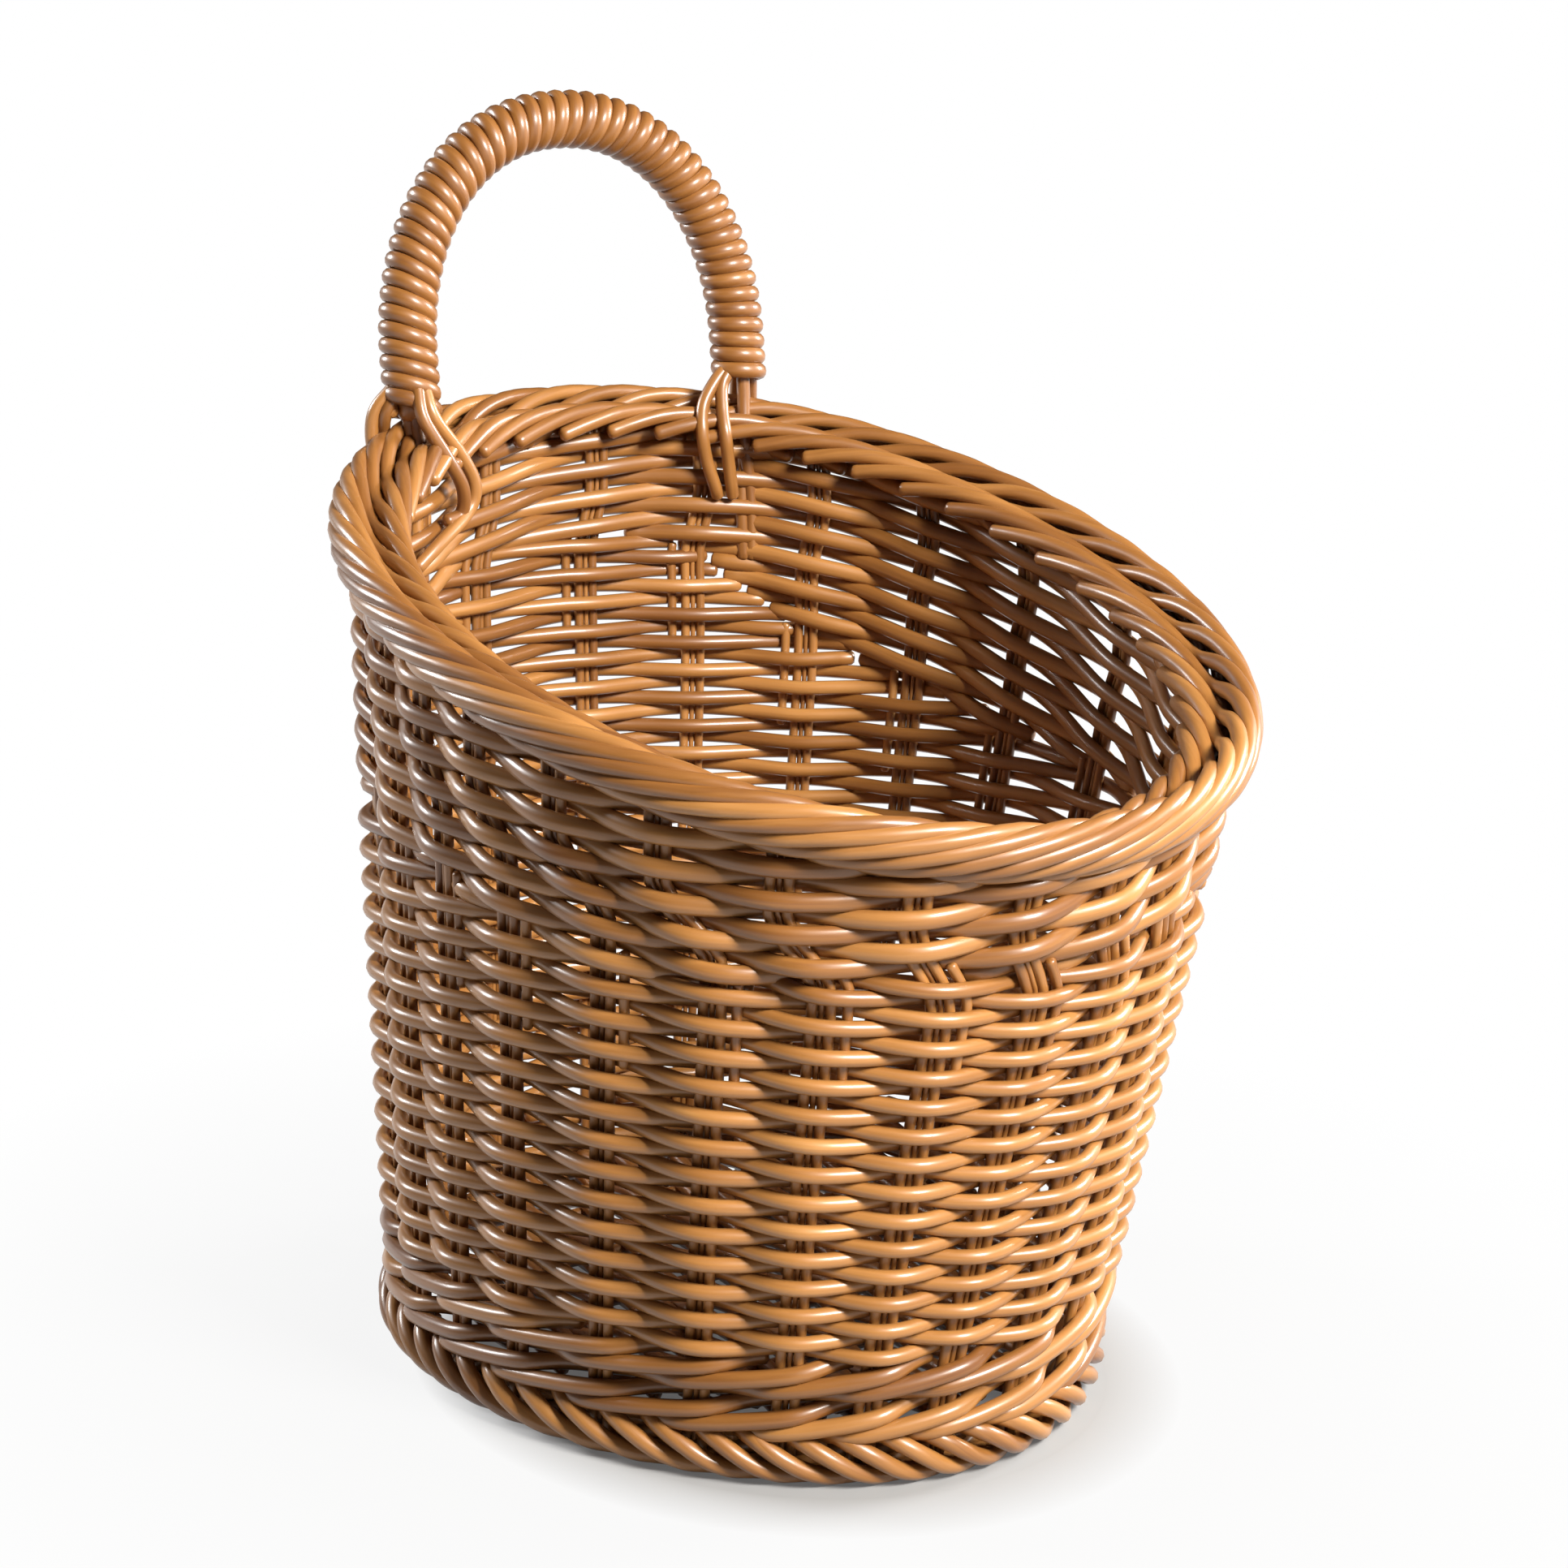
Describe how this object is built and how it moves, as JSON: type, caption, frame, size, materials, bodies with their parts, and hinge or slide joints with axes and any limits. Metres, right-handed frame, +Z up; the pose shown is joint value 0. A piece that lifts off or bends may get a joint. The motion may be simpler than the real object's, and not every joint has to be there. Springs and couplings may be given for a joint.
{
  "type": "wall basket",
  "caption": "Tall basket woven from honey-tan round strands, rim sloping down to the front, wrapped loop handle at its high back.",
  "frame": {"origin": "middle of the underside of the basket's bounding box, on the ground it stands on", "axes": "+Z up, -Y towards the low front of the rim, +Y towards the high back with the handle, +X to the right seen from the front"},
  "size_m": [0.2624, 0.297, 0.3718],
  "materials": {
    "strand": "satin"
  },
  "bodies": {
    "root": {"foot_border": "strand", "base_panel": "strand", "base_stick_01": "strand", "base_stick_02": "strand", "base_stick_03": "strand", "base_stick_04": "strand", "base_stick_05": "strand", "base_stick_06": "strand", "base_stick_07": "strand", "base_wale": "strand", "side_weave": "strand", "sloping_weave": "strand", "stake_pair_01": "strand", "stake_pair_02": "strand", "stake_pair_03": "strand", "stake_pair_04": "strand", "stake_pair_05": "strand", "stake_pair_06": "strand", "stake_pair_07": "strand", "stake_pair_08": "strand", "stake_pair_09": "strand", "stake_pair_10": "strand", "stake_pair_11": "strand", "stake_pair_12": "strand", "stake_pair_13": "strand", "stake_pair_14": "strand", "stake_pair_15": "strand", "stake_pair_16": "strand", "stake_pair_17": "strand", "stake_pair_18": "strand", "stake_pair_19": "strand", "stake_pair_20": "strand", "stake_pair_21": "strand", "stake_pair_22": "strand", "stake_pair_23": "strand", "stake_pair_24": "strand", "stake_pair_25": "strand", "top_border": "strand", "handle_bow": "strand", "handle_wrap": "strand", "lashing_left_outer_01": "strand", "lashing_left_outer_02": "strand", "lashing_left_inner_01": "strand", "lashing_left_inner_02": "strand", "lashing_right_outer_01": "strand", "lashing_right_outer_02": "strand", "lashing_right_inner_01": "strand", "lashing_right_inner_02": "strand"}
  },
  "joints": []
}
